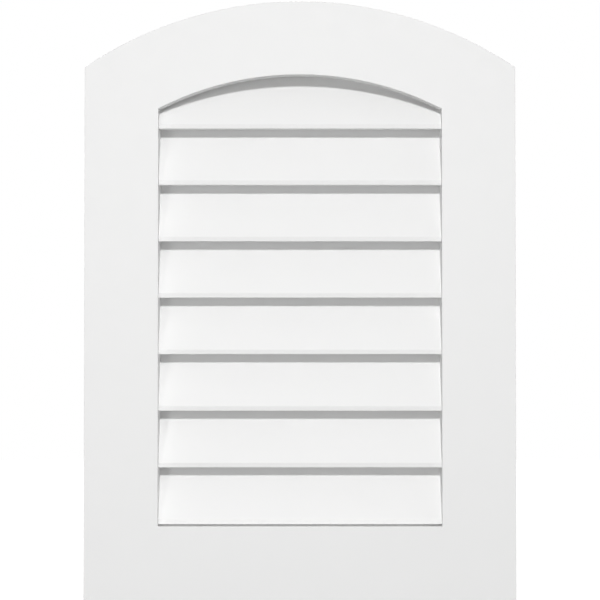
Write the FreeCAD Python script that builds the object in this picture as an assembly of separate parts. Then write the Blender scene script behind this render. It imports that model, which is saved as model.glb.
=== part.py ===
import FreeCAD, Part
import math
import os

# Arch-top gable vent in white cellular PVC, in millimetres, +Z up.
# The back of the trim frame lies on the wall plane y = 0 and its face looks towards -Y.
# The origin is the middle of the frame's bottom edge on that plane.

# Trim frame, one flat ring
FRAME_WIDTH = 520.7
FRAME_HEIGHT = 723.9
FRAME_THICKNESS = 19.05
TRIM_WIDTH = 88.9
ARCH_RISE = 80.0
ARRIS_RADIUS = 0.5

# Box of four boards behind the frame
BOARD_THICKNESS = 19.05
HOUSING_DEPTH = 6.35
HOUSING_CLEARANCE = 0.15
HEAD_REVEAL = 12.7
UPSTAND_HEIGHT = 12.7
UPSTAND_THICKNESS = 6.35

# Louvres, glued into dadoes in the jambs, with their noses flush with the boards' front edges
LOUVRE_COUNT = 8
LOUVRE_ANGLE = 60.0
LOUVRE_THICKNESS = 12.7
LOUVRE_OVERLAP = 12.7
NOSE_HEIGHT = 5.6
NOSE_GAP = 2.1
NOSE_RADIUS = 0.5
DADO_DEPTH = 6.35
DADO_CLEARANCE = 0.15
SIDE_CLEARANCE = 0.4

# Insect screen on the back edges of the boards
SCREEN_CLEARANCE = 5.1
SCREEN_THICKNESS = 0.8
SCREEN_INSET = 3.0
SCREEN_COLUMNS = 9
SCREEN_ROWS = 13
SCREEN_RIB = 3.0

# Staples of flat wire, short ones through the screen and long narrow ones at the corners of the box
WIRE_WIDTH = 1.2
WIRE_GAUGE = 0.7
SCREEN_STAPLE_CROWN = 10.0
SCREEN_STAPLE_LEG = 8.0
SCREEN_STAPLE_SPACING = 75.0
CORNER_STAPLE_CROWN = 6.35
CORNER_STAPLE_LEG = 38.0
CORNER_STAPLE_SINK = 1.0

# Outlines, all struck from one arch centre
V = FreeCAD.Vector
FRAME_HALF = FRAME_WIDTH / 2
FRAME_RADIUS = (FRAME_HALF ** 2 + ARCH_RISE ** 2) / (2 * ARCH_RISE)
ARCH_CENTRE = FRAME_HEIGHT - FRAME_RADIUS
OPENING_HALF = FRAME_HALF - TRIM_WIDTH
OPENING_BOTTOM = TRIM_WIDTH
OPENING_RADIUS = FRAME_RADIUS - TRIM_WIDTH
OPENING_HEIGHT = FRAME_HEIGHT - 2 * TRIM_WIDTH
BOX_HALF = OPENING_HALF + BOARD_THICKNESS
BOX_BOTTOM = OPENING_BOTTOM - BOARD_THICKNESS
HEAD_RADIUS = OPENING_RADIUS + HEAD_REVEAL
BOX_RADIUS = HEAD_RADIUS + BOARD_THICKNESS
JAMB_TOP = ARCH_CENTRE + math.sqrt(HEAD_RADIUS ** 2 - OPENING_HALF ** 2)

# Louvre section: a plumb nose, a level cut under it, and a slanted blade up to a plumb back edge
SLOPE = math.tan(math.radians(LOUVRE_ANGLE))
PLUMB_THICKNESS = LOUVRE_THICKNESS / math.cos(math.radians(LOUVRE_ANGLE))
LOUVRE_PITCH = (OPENING_HEIGHT + NOSE_GAP) / LOUVRE_COUNT
LOUVRE_RISE = LOUVRE_PITCH + LOUVRE_OVERLAP - NOSE_HEIGHT

# Depths from the wall plane
BOARD_FRONT = -HOUSING_DEPTH
LOUVRE_BACK = BOARD_FRONT + LOUVRE_RISE / SLOPE
BOARD_BACK = LOUVRE_BACK + SCREEN_CLEARANCE
BOARD_DEPTH = BOARD_BACK - BOARD_FRONT
SCREEN_BACK = BOARD_BACK + SCREEN_THICKNESS

# Staples run midway between a jamb's outer face and its dadoes, and as far in on the other boards
STAPLE_INSET = (BOARD_THICKNESS - DADO_DEPTH) / 2
CORNER_STAPLE_DEPTHS = [BOARD_FRONT + share * BOARD_DEPTH for share in (0.3, 0.7)]
FAR = 2 * FRAME_HEIGHT
RIGHT = V(1, 0, 0)
INWARD = V(0, 1, 0)
UP = V(0, 0, 1)


def arched_slab(half_width, bottom, radius, front, back):
    """Slab with upright sides and a top struck from the arch centre."""
    spring = ARCH_CENTRE + math.sqrt(radius ** 2 - half_width ** 2)
    crown = V(0, front, ARCH_CENTRE + radius)
    corners = [V(half_width, front, spring), V(half_width, front, bottom)]
    corners += [V(-half_width, front, bottom), V(-half_width, front, spring)]
    edges = [Part.LineSegment(a, b).toShape() for a, b in zip(corners, corners[1:])]
    edges.append(Part.Arc(corners[-1], crown, corners[0]).toShape())
    return Part.Face(Part.Wire(edges)).extrude(V(0, back - front, 0))


def block(low, high):
    """Plain block between two corners."""
    size = high - low
    return Part.makeBox(size.x, size.y, size.z, low)


def mirrored(shape):
    """The same shape on the other side of the plane x = 0."""
    return shape.mirror(V(0, 0, 0), V(1, 0, 0))


def box_wall(front, back, grow):
    """The four boards of the box as one wall, thicker by grow on both faces."""
    outside = arched_slab(BOX_HALF + grow, BOX_BOTTOM - grow, BOX_RADIUS + grow, front, back)
    inside = arched_slab(OPENING_HALF - grow, OPENING_BOTTOM + grow, HEAD_RADIUS - grow, front, back)
    return outside.cut(inside)


def front_frame():
    """Flat ring with eased front arrises and a groove in its back for the box."""
    ring = arched_slab(FRAME_HALF, 0, FRAME_RADIUS, -FRAME_THICKNESS, 0)
    opening = arched_slab(OPENING_HALF, OPENING_BOTTOM, OPENING_RADIUS, -FRAME_THICKNESS, 0)
    ring = ring.cut(opening)
    front_edges = [edge for edge in ring.Edges if edge.BoundBox.YMax < -FRAME_THICKNESS / 2]
    eased = ring.makeFillet(ARRIS_RADIUS, front_edges)
    return eased.cut(box_wall(BOARD_FRONT, 0, HOUSING_CLEARANCE))


def nose_tip(number):
    """Height of a louvre's level underside, counted from the top louvre."""
    return OPENING_BOTTOM + NOSE_GAP + (LOUVRE_COUNT - number) * LOUVRE_PITCH


def blade(number, back, grow, half_width):
    """A louvre's section drawn out along its length, larger by grow on all faces but its nose and back."""
    plumb_grow = grow / math.cos(math.radians(LOUVRE_ANGLE))
    level = nose_tip(number) - grow
    top_front = nose_tip(number) + NOSE_HEIGHT + plumb_grow
    top_back = top_front + (back - BOARD_FRONT) * SLOPE
    height = PLUMB_THICKNESS + 2 * plumb_grow
    knee = BOARD_FRONT + (height - top_front + level) / SLOPE
    section = [(BOARD_FRONT, level), (knee, level), (back, top_back - height)]
    section += [(back, top_back), (BOARD_FRONT, top_front)]
    points = [V(-half_width, y, z) for y, z in section]
    wire = Part.makePolygon(points + points[:1])
    return Part.Face(wire).extrude(V(2 * half_width, 0, 0))


def louvre(number):
    """Blade with an eased nose and its ends in the dadoes. The top one is trimmed under the head and the arch."""
    end_half = OPENING_HALF + DADO_DEPTH - DADO_CLEARANCE
    strip = blade(number, LOUVRE_BACK, 0, end_half)
    inner_half = OPENING_HALF - SIDE_CLEARANCE
    inner_radius = HEAD_RADIUS - SIDE_CLEARANCE
    under_head = arched_slab(inner_half, 0, inner_radius, BOARD_FRONT, LOUVRE_BACK)
    jamb_corner = V(end_half, LOUVRE_BACK, JAMB_TOP - DADO_CLEARANCE)
    between_jambs = block(V(-end_half, BOARD_FRONT, 0), jamb_corner)
    under_arch = arched_slab(OPENING_HALF, 0, OPENING_RADIUS - SIDE_CLEARANCE, BOARD_FRONT, SIDE_CLEARANCE)
    arch_low = V(-OPENING_HALF, BOARD_FRONT, 0)
    above_arch = block(arch_low, V(OPENING_HALF, SIDE_CLEARANCE, FAR)).cut(under_arch)
    fitted = strip.common(under_head).fuse(strip.common(between_jambs))
    fitted = fitted.cut(above_arch).removeSplitter()
    nose_edges = [
        edge
        for edge in fitted.Edges
        if edge.BoundBox.YMax < BOARD_FRONT + NOSE_RADIUS and edge.BoundBox.XLength > OPENING_HALF
    ]
    return fitted.makeFillet(NOSE_RADIUS, nose_edges)


def right_jamb():
    """Side board with one dado for each louvre, open at the front edge."""
    board = box_wall(BOARD_FRONT, BOARD_BACK, 0)
    board = board.common(block(V(OPENING_HALF, BOARD_FRONT, 0), V(BOX_HALF, BOARD_BACK, JAMB_TOP)))
    for number in range(1, LOUVRE_COUNT + 1):
        back = LOUVRE_BACK + DADO_CLEARANCE
        board = board.cut(blade(number, back, DADO_CLEARANCE, OPENING_HALF + DADO_DEPTH))
    return board


def sill_board():
    """Bottom board between the jambs, with an upstand along its back edge that stops blown rain."""
    board = block(V(-OPENING_HALF, BOARD_FRONT, BOX_BOTTOM), V(OPENING_HALF, BOARD_BACK, OPENING_BOTTOM))
    upstand_low = V(-OPENING_HALF, BOARD_BACK - UPSTAND_THICKNESS, OPENING_BOTTOM)
    upstand = block(upstand_low, V(OPENING_HALF, BOARD_BACK, OPENING_BOTTOM + UPSTAND_HEIGHT))
    return board.fuse(upstand).removeSplitter()


def head_board():
    """Bent board that stands on the jambs, trimmed flush with their outer faces."""
    above = block(V(-FAR, BOARD_FRONT, JAMB_TOP), V(FAR, BOARD_BACK, FAR))
    return box_wall(BOARD_FRONT, BOARD_BACK, 0).common(above)


def insect_screen():
    """Thin sheet over the back of the box, with open windows across the airway."""
    half = BOX_HALF - SCREEN_INSET
    sheet = arched_slab(half, BOX_BOTTOM + SCREEN_INSET, BOX_RADIUS - SCREEN_INSET, BOARD_BACK, SCREEN_BACK)
    airway_half = OPENING_HALF - SCREEN_RIB
    airway_bottom = OPENING_BOTTOM + UPSTAND_HEIGHT + SCREEN_RIB
    airway_radius = HEAD_RADIUS - SCREEN_RIB
    airway = arched_slab(airway_half, airway_bottom, airway_radius, BOARD_BACK, SCREEN_BACK)
    airway_top = ARCH_CENTRE + airway_radius
    column = 2 * airway_half / SCREEN_COLUMNS
    row = (airway_top - airway_bottom) / SCREEN_ROWS
    ribs = []
    for index in range(1, SCREEN_COLUMNS):
        x = -airway_half + index * column
        ribs.append(block(V(x - SCREEN_RIB / 2, BOARD_BACK, 0), V(x + SCREEN_RIB / 2, SCREEN_BACK, FAR)))
    for index in range(1, SCREEN_ROWS):
        z = airway_bottom + index * row
        ribs.append(block(V(-half, BOARD_BACK, z - SCREEN_RIB / 2), V(half, SCREEN_BACK, z + SCREEN_RIB / 2)))
    return sheet.cut(airway.cut(ribs))


def staple(crown, leg, seat, drive, along):
    """Flat-wire staple with the top of its crown centred on seat and its legs pointing along drive."""
    across = drive.cross(along)
    outer = crown / 2
    inner = outer - WIRE_WIDTH
    corners = [(-outer, leg), (-outer, 0), (outer, 0), (outer, leg)]
    corners += [(inner, leg), (inner, WIRE_GAUGE), (-inner, WIRE_GAUGE), (-inner, leg)]
    start = seat - across * (WIRE_WIDTH / 2)
    points = [start + along * sideways + drive * down for sideways, down in corners]
    wire = Part.makePolygon(points + points[:1])
    return Part.Face(wire).extrude(across * WIRE_WIDTH)


def spread(length):
    """Even positions along a run, about one staple spacing apart and half a step in from its ends."""
    count = max(2, round(length / SCREEN_STAPLE_SPACING))
    return [(index + 0.5) * length / count for index in range(count)]


def screen_staple(x, z, along):
    """Short staple with its crown on the screen."""
    seat = V(x, SCREEN_BACK + WIRE_GAUGE, z)
    return staple(SCREEN_STAPLE_CROWN, SCREEN_STAPLE_LEG, seat, INWARD * -1, along)


def screen_staples():
    """Staples along the back edges of the four boards."""
    side = BOX_HALF - STAPLE_INSET
    staples = []
    for along in spread(JAMB_TOP - OPENING_BOTTOM):
        staples.append(screen_staple(side, OPENING_BOTTOM + along, UP))
        staples.append(screen_staple(-side, OPENING_BOTTOM + along, UP))
    for along in spread(2 * OPENING_HALF):
        staples.append(screen_staple(along - OPENING_HALF, BOX_BOTTOM + STAPLE_INSET, RIGHT))
    radius = BOX_RADIUS - STAPLE_INSET
    half_angle = math.asin(OPENING_HALF / radius)
    for along in spread(2 * half_angle * radius):
        angle = along / radius - half_angle
        outwards = V(math.sin(angle), 0, math.cos(angle))
        place = UP * ARCH_CENTRE + outwards * radius
        staples.append(screen_staple(place.x, place.z, INWARD.cross(outwards)))
    return Part.makeCompound(staples)


def corner_seats():
    """Crown position and driving direction of each corner staple on the right-hand side."""
    side = BOX_HALF - STAPLE_INSET
    low_edge = side + WIRE_WIDTH / 2
    head_top = ARCH_CENTRE + math.sqrt(BOX_RADIUS ** 2 - low_edge ** 2)
    sill_middle = OPENING_BOTTOM - BOARD_THICKNESS / 2
    seats = []
    for depth in CORNER_STAPLE_DEPTHS:
        seats.append((V(BOX_HALF - CORNER_STAPLE_SINK, depth, sill_middle), RIGHT * -1))
        seats.append((V(side, depth, head_top - CORNER_STAPLE_SINK), UP * -1))
    return seats


def corner_staples():
    """Long staples through the jambs into the sill, and down through the head into the jambs."""
    right = [
        staple(CORNER_STAPLE_CROWN, CORNER_STAPLE_LEG, seat, drive, INWARD)
        for seat, drive in corner_seats()
    ]
    return Part.makeCompound(right + [mirrored(solid) for solid in right])


def corner_slots():
    """Slots that the sunk crowns leave above them in the boards."""
    slots = []
    for seat, drive in corner_seats():
        across = drive.cross(INWARD) * (WIRE_WIDTH / 2)
        along = INWARD * (CORNER_STAPLE_CROWN / 2)
        corners = [seat - across - along, seat + across - along, seat + across + along, seat - across + along]
        wire = Part.makePolygon(corners + corners[:1])
        slots.append(Part.Face(wire).extrude(drive * -BOARD_THICKNESS))
    return Part.makeCompound(slots + [mirrored(slot) for slot in slots])


def build():
    """Every piece of the vent by name."""
    staples = screen_staples()
    corners = corner_staples()
    jamb = right_jamb()
    boards = {
        "right_jamb": jamb,
        "left_jamb": mirrored(jamb),
        "sill_board": sill_board(),
        "head_board": head_board(),
    }
    pieces = {name: board.cut([staples, corners, corner_slots()]) for name, board in boards.items()}
    pieces["front_frame"] = front_frame()
    for number in range(1, LOUVRE_COUNT + 1):
        pieces[f"louvre_{number}"] = louvre(number)
    pieces["insect_screen"] = insect_screen().cut(staples)
    pieces["screen_staples"] = staples
    pieces["corner_staples"] = corners
    return pieces


os.makedirs("parts", exist_ok=True)
for name, shape in build().items():
    shape.exportStep(f"parts/{name}.step")
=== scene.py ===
import math

import bmesh
import bpy
from mathutils import Matrix, Vector


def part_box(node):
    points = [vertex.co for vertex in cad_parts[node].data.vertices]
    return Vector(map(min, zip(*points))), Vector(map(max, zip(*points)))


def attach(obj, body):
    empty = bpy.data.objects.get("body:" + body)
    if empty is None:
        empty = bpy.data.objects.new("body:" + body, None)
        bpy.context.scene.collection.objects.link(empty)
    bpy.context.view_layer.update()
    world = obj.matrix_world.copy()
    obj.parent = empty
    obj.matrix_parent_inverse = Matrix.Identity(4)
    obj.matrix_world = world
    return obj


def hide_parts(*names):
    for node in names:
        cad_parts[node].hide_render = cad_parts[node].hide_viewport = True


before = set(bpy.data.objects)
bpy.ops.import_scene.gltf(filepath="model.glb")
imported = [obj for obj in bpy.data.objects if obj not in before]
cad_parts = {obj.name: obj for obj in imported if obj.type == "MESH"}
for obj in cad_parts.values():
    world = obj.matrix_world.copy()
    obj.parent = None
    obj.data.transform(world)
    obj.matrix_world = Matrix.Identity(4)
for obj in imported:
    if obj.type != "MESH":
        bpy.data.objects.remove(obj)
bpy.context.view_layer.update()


# Box boards: two jambs, a sill and a bent head, the box that goes through the wall behind the trim.
# They are sawn from white cellular PVC board, with a hard satin skin on its faces and fine open cells in
# its sawn edges. They are cemented and stapled at the corners. The sill has a low upstand at its back.
BOARD_WHITE = (0.850, 0.850, 0.847, 1.0)
# Painted shade: the pits of the open cells in sawn edges are painted in this darker white.
PAINTED_CELL_SHADE = (0.760, 0.760, 0.753, 1.0)
CLOUD_SIZE = 0.07
CLOUD_DETAIL = 3.0
CLOUD_SHARE = 0.985
SAWN_SHARE = 0.985
CELL_SIZE = 0.0006
PIT_EDGE = 0.46
PIT_FLOOR = 0.30
PEBBLE_SIZE = 0.0011
PEBBLE_HEIGHT = 0.3
RELIEF_STRENGTH = 0.4
RELIEF_DEPTH = 0.00008
PVC_IOR = 1.53
SKIN_ROUGHNESS = 0.55
PATCH_SIZE = 0.02
PATCH_ROUGHNESS = 0.12
SAWN_ROUGHNESS = 0.2


class Value:
    """A number, colour or vector that varies over a surface. Sums on it add Math nodes."""

    def __init__(self, finish, socket):
        self.finish = finish
        self.socket = socket

    def sum(self, operation, first, second):
        """One Math node on two numbers or values."""
        return self.finish.node("ShaderNodeMath", {"operation": operation}, {0: first, 1: second})

    def __add__(self, other):
        return self.sum("ADD", self, other)

    def __sub__(self, other):
        return self.sum("SUBTRACT", self, other)

    def __rsub__(self, other):
        return self.sum("SUBTRACT", other, self)

    def __mul__(self, other):
        return self.sum("MULTIPLY", self, other)

    __radd__ = __add__
    __rmul__ = __mul__


class Finish:
    """The nodes of a material or of the world, round its one shader."""

    def __init__(self, owner, shader):
        owner.use_nodes = True
        self.owner = owner
        self.tree = owner.node_tree
        self.shader = self.tree.nodes[shader]

    def plug(self, socket, source):
        """Link a socket to a value that varies, or set it to one that doesn't."""
        if isinstance(source, Value):
            self.tree.links.new(source.socket, socket)
        else:
            socket.default_value = source

    def feed(self, socket, source):
        """Give one of the shader's sockets a value or a link."""
        self.plug(self.shader.inputs[socket], source)

    def node(self, kind, settings, inputs, output=0):
        """Any node: its settings come first, then the values or links of its sockets."""
        new = self.tree.nodes.new(kind)
        for name, setting in settings.items():
            setattr(new, name, setting)
        for name, source in inputs.items():
            self.plug(new.inputs[name], source)
        return Value(self, new.outputs[output])

    def place(self):
        """Where a point is on the piece, in metres."""
        return self.node("ShaderNodeTexCoord", {}, {}, "Object")

    def noise(self, place, size, detail=2.0):
        """Soft cloudy noise with lumps of about that size."""
        inputs = {"Vector": place, "Scale": 1 / size, "Detail": detail}
        return self.node("ShaderNodeTexNoise", {}, inputs, "Fac")

    def ramp(self, value, low, high):
        """0 where the value is at low and 1 where it is at high, level beyond them."""
        return self.node("ShaderNodeMapRange", {}, {"Value": value, "From Min": low, "From Max": high})

    def blend(self, share, first, second):
        """A colour between two others."""
        return self.node("ShaderNodeMix", {"data_type": "RGBA"}, {0: share, 6: first, 7: second}, 2)


def dimmed(colour, share):
    """The same colour with less light in it."""
    red, green, blue, alpha = colour
    return (red * share, green * share, blue * share, alpha)


def cellular_pvc(name, white, skin_facing, sawn_facing):
    """White PVC, with skin on some surfaces and sawn open cells on others, by how they face.

    A surface's facing is 1 where it looks straight to the front or the back, and 0 where it is edge on.
    """
    finish = Finish(bpy.data.materials.new(name), "Principled BSDF")
    finish.feed("IOR", PVC_IOR)
    place = finish.place()
    normal = finish.node("ShaderNodeNewGeometry", {}, {}, "Normal")
    depth = finish.node("ShaderNodeSeparateXYZ", {}, {"Vector": normal}, "Y")
    facing = finish.node("ShaderNodeMath", {"operation": "ABSOLUTE"}, {0: depth})
    sawn = finish.ramp(facing, skin_facing, sawn_facing)
    clouds = finish.noise(place, CLOUD_SIZE, CLOUD_DETAIL)
    pebble = finish.noise(place, PEBBLE_SIZE)
    cells = finish.noise(place, CELL_SIZE)
    pits = finish.ramp(cells, PIT_EDGE, PIT_FLOOR)
    skin = finish.blend(clouds, dimmed(white, CLOUD_SHARE), white)
    # The sawn faces' pits get the darker white, which is painted shade in the open cells.
    cut_face_with_pit_shade = finish.blend(pits, dimmed(white, SAWN_SHARE), PAINTED_CELL_SHADE)
    finish.feed("Base Color", finish.blend(sawn, skin, cut_face_with_pit_shade))
    skin_roughness = SKIN_ROUGHNESS + finish.noise(place, PATCH_SIZE) * PATCH_ROUGHNESS
    finish.feed("Roughness", skin_roughness + sawn * SAWN_ROUGHNESS)
    height = pebble * (1 - sawn) * PEBBLE_HEIGHT - pits * sawn
    relief = {"Strength": RELIEF_STRENGTH, "Distance": RELIEF_DEPTH, "Height": height}
    finish.feed("Normal", finish.node("ShaderNodeBump", {}, relief))
    return finish.owner


board_pvc = cellular_pvc("board_pvc", BOARD_WHITE, skin_facing=0.6, sawn_facing=0.8)
for board in ("left_jamb", "right_jamb", "sill_board", "head_board"):
    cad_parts[board].data.materials[0] = board_pvc


# Corner staples: long narrow staples of flat galvanised wire, shot through the corners of the box.
# Their crowns lie a little below the boards' faces.
ZINC_BRIGHT = (0.66, 0.67, 0.68, 1.0)
ZINC_DULL = (0.42, 0.43, 0.44, 1.0)
ZINC_ROUGHNESS = 0.32
CRYSTAL_ROUGHNESS = 0.22
STAPLE_SPANGLE = 0.0025


def galvanised(name, spangle):
    """Zinc-coated steel, with crystals of that size, some brighter and some duller."""
    finish = Finish(bpy.data.materials.new(name), "Principled BSDF")
    finish.feed("Metallic", 1.0)
    crystals = finish.noise(finish.place(), spangle)
    finish.feed("Base Color", finish.blend(crystals, ZINC_DULL, ZINC_BRIGHT))
    finish.feed("Roughness", ZINC_ROUGHNESS + crystals * CRYSTAL_ROUGHNESS)
    return finish.owner


staple_wire = galvanised("staple_wire", STAPLE_SPANGLE)
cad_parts["corner_staples"].data.materials[0] = staple_wire


# Louvres: eight slanted blades of half-inch white PVC sheet, each with a plumb nose and a level cut below
# it. Their ends are cemented in the jambs' dadoes, with the noses flush with the boards' front edges.
# This white is a little above the boards' white, and that difference is painted light that brightens the
# blades.
LOUVRE_WHITE_WITH_PAINTED_LIGHT = (0.880, 0.880, 0.877, 1.0)
louvre_pvc = cellular_pvc("louvre_pvc", LOUVRE_WHITE_WITH_PAINTED_LIGHT, skin_facing=0.90, sawn_facing=0.97)
for name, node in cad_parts.items():
    if name.startswith("louvre_"):
        node.data.materials[0] = louvre_pvc


# Front frame: one arch-top ring routed from white cellular PVC sheet, with eased front arrises.
# A groove routed in its back takes the front edges of the box, which are cemented in.
frame_pvc = cellular_pvc("frame_pvc", BOARD_WHITE, skin_facing=0.8, sawn_facing=0.6)
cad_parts["front_frame"].data.materials[0] = frame_pvc


# Insect screen: welded cloth of fine galvanised wire, cut to the arch with snips.
# Upright wires lie on the boards' back edges, and cross wires are welded over them at every crossing.
ARCH_RISE = 0.080
MESH_PITCH = 0.003175
MESH_WIRE = 0.00043
MESH_SIDES = 6
SCREEN_SPANGLE = 0.004

frame_low, frame_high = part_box("front_frame")
frame_radius = (frame_high.x ** 2 + ARCH_RISE ** 2) / (2 * ARCH_RISE)
arch_centre = frame_high.z - frame_radius
screen_low, screen_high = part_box("insect_screen")
screen_radius = screen_high.z - arch_centre
screen_height = screen_high.z - screen_low.z
screen_mesh = bmesh.new()


def wire(start, end):
    """A straight round wire, closed at both ends."""
    run = end - start
    turn = run.to_track_quat("Z", "Y").to_matrix().to_4x4()
    place = Matrix.Translation(start) @ turn
    shape = {"cap_ends": True, "segments": MESH_SIDES, "radius": MESH_WIRE / 2}
    ring = bmesh.ops.create_circle(screen_mesh, matrix=place, **shape)
    cap = ring["verts"][0].link_faces[0]
    cap.normal_flip()
    far = bmesh.ops.extrude_face_region(screen_mesh, geom=[cap], use_keep_orig=True)
    far_verts = [item for item in far["geom"] if isinstance(item, bmesh.types.BMVert)]
    bmesh.ops.translate(screen_mesh, verts=far_verts, vec=run)


upright_y = screen_low.y + MESH_WIRE / 2
cross_y = screen_high.y - MESH_WIRE / 2
upright_count = int(2 * screen_high.x / MESH_PITCH)
for index in range(upright_count + 1):
    x = (index - upright_count / 2) * MESH_PITCH
    top = arch_centre + math.sqrt(screen_radius ** 2 - x ** 2)
    wire(Vector((x, upright_y, screen_low.z)), Vector((x, upright_y, top)))
for index in range(1, int(screen_height / MESH_PITCH)):
    z = screen_low.z + index * MESH_PITCH
    half = screen_high.x
    if z > arch_centre:
        half = min(half, math.sqrt(screen_radius ** 2 - (z - arch_centre) ** 2))
    wire(Vector((-half, cross_y, z)), Vector((half, cross_y, z)))
bmesh.ops.recalc_face_normals(screen_mesh, faces=screen_mesh.faces)
screen_data = bpy.data.meshes.new("wire_screen")
screen_mesh.to_mesh(screen_data)
screen_mesh.free()
wire_screen = bpy.data.objects.new("wire_screen", screen_data)
bpy.context.scene.collection.objects.link(wire_screen)
screen_data.materials.append(galvanised("screen_wire", SCREEN_SPANGLE))
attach(wire_screen, "root")
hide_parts("insect_screen")


# Screen staples: short staples of flat galvanised wire with their crowns across the mesh.
# They are shot into the back edges of the four boards.
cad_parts["screen_staples"].data.materials[0] = staple_wire


# Floor: pale paper that shows white to the camera, and keeps the vent's shadow.
# Its glow is kept from the rays that carry soft light, so the vent isn't lit from below.
FLOOR_RADIUS = 4.0
FLOOR_SIDES = 96
FLOOR_GREY = (0.12, 0.12, 0.12, 1.0)
FLOOR_ROUGHNESS = 0.9
FLOOR_GLOW = 0.93
WHITE = (1.0, 1.0, 1.0, 1.0)

floor_mesh = bmesh.new()
bmesh.ops.create_circle(floor_mesh, cap_ends=True, segments=FLOOR_SIDES, radius=FLOOR_RADIUS)
floor_data = bpy.data.meshes.new("floor")
floor_mesh.to_mesh(floor_data)
floor_mesh.free()
floor = bpy.data.objects.new("floor", floor_data)
bpy.context.scene.collection.objects.link(floor)


def seen(finish):
    """1 for rays from the camera, also by way of metal or glass, and 0 for rays that carry soft light."""
    kinds = ("Camera", "Glossy", "Transmission")
    rays = [finish.node("ShaderNodeLightPath", {}, {}, f"Is {kind} Ray") for kind in kinds]
    any_ray = rays[0] + rays[1] + rays[2]
    return finish.node("ShaderNodeMath", {"operation": "MINIMUM"}, {0: any_ray, 1: 1.0})


paper = Finish(bpy.data.materials.new("floor_paper"), "Principled BSDF")
paper.feed("Base Color", FLOOR_GREY)
paper.feed("Roughness", FLOOR_ROUGHNESS)
paper.feed("Emission Color", WHITE)
paper.feed("Emission Strength", seen(paper) * FLOOR_GLOW)
floor_data.materials.append(paper.owner)


# Room: white to the camera, and for the rays that carry soft light a sky that leaves the horizon dark.
# In front of the vent the sky is brighter on the right than on the left.
FRONT_SKY = 0.45
BACK_SKY = 0.60

room = Finish(bpy.data.worlds.new("room"), "Background")
bpy.context.scene.world = room.owner
room.feed("Color", WHITE)
direction = room.node("ShaderNodeTexCoord", {}, {}, "Generated")


def along(axis):
    """How far a direction leans along one axis."""
    return room.node("ShaderNodeSeparateXYZ", {}, {"Vector": direction}, axis)


above = room.ramp(along("Z"), low=0.0, high=0.5)
behind = room.ramp(along("Y"), low=-0.2, high=0.2)
front_sky = (1 + along("X")) * FRONT_SKY
sky = above * (front_sky + behind * (BACK_SKY - front_sky))
camera_share = seen(room)
room.feed("Strength", camera_share + (1 - camera_share) * sky)


# Lamps: a key above the camera, which throws the louvres' shadows, a weak fill by the camera, one on the
# left, which leaves the left end of each louvre a little darker, and one high behind the vent.
middle = (frame_low + frame_high) / 2


def lamp(name, place, size, power):
    """A round lamp that points at the middle of the vent."""
    data = bpy.data.lights.new(name, "AREA")
    data.shape = "DISK"
    data.size = size
    data.energy = power
    holder = bpy.data.objects.new(name, data)
    turn = (middle - place).to_track_quat("-Z", "Y").to_matrix().to_4x4()
    holder.matrix_world = Matrix.Translation(place) @ turn
    bpy.context.scene.collection.objects.link(holder)


lamp("key", place=Vector((0.0, -3.28, 1.37)), size=0.25, power=64.0)
lamp("fill", place=Vector((0.0, -2.90, 0.20)), size=0.5, power=6.5)
lamp("left", place=Vector((-1.09, -3.40, 0.35)), size=0.25, power=15.0)
lamp("back", place=Vector((0.6, 2.4, 3.0)), size=0.8, power=30.0)


# Camera: straight in front, a little below the middle and tilted up a little, so that the undersides
# of the upper louvres show. The frame's height fills the picture.
CAMERA_DISTANCE = 2.6
CAMERA_HEIGHT = 0.28
CAMERA_SHIFT = 0.02

half_height = (frame_high.z - frame_low.z) / 2
half_angle = math.atan(half_height / CAMERA_DISTANCE)
rise = math.atan((middle.z - CAMERA_HEIGHT) / CAMERA_DISTANCE)
tilt = rise - math.atan(2 * CAMERA_SHIFT * math.tan(half_angle))
camera_data = bpy.data.cameras.new("camera")
camera_data.angle = 2 * half_angle
camera_data.shift_y = CAMERA_SHIFT
camera = bpy.data.objects.new("camera", camera_data)
camera.location = (0.0, frame_low.y - CAMERA_DISTANCE, CAMERA_HEIGHT)
camera.rotation_euler = (math.pi / 2 + tilt, 0.0, 0.0)
bpy.context.scene.collection.objects.link(camera)
bpy.context.scene.camera = camera
bpy.context.scene.view_settings.view_transform = "Standard"
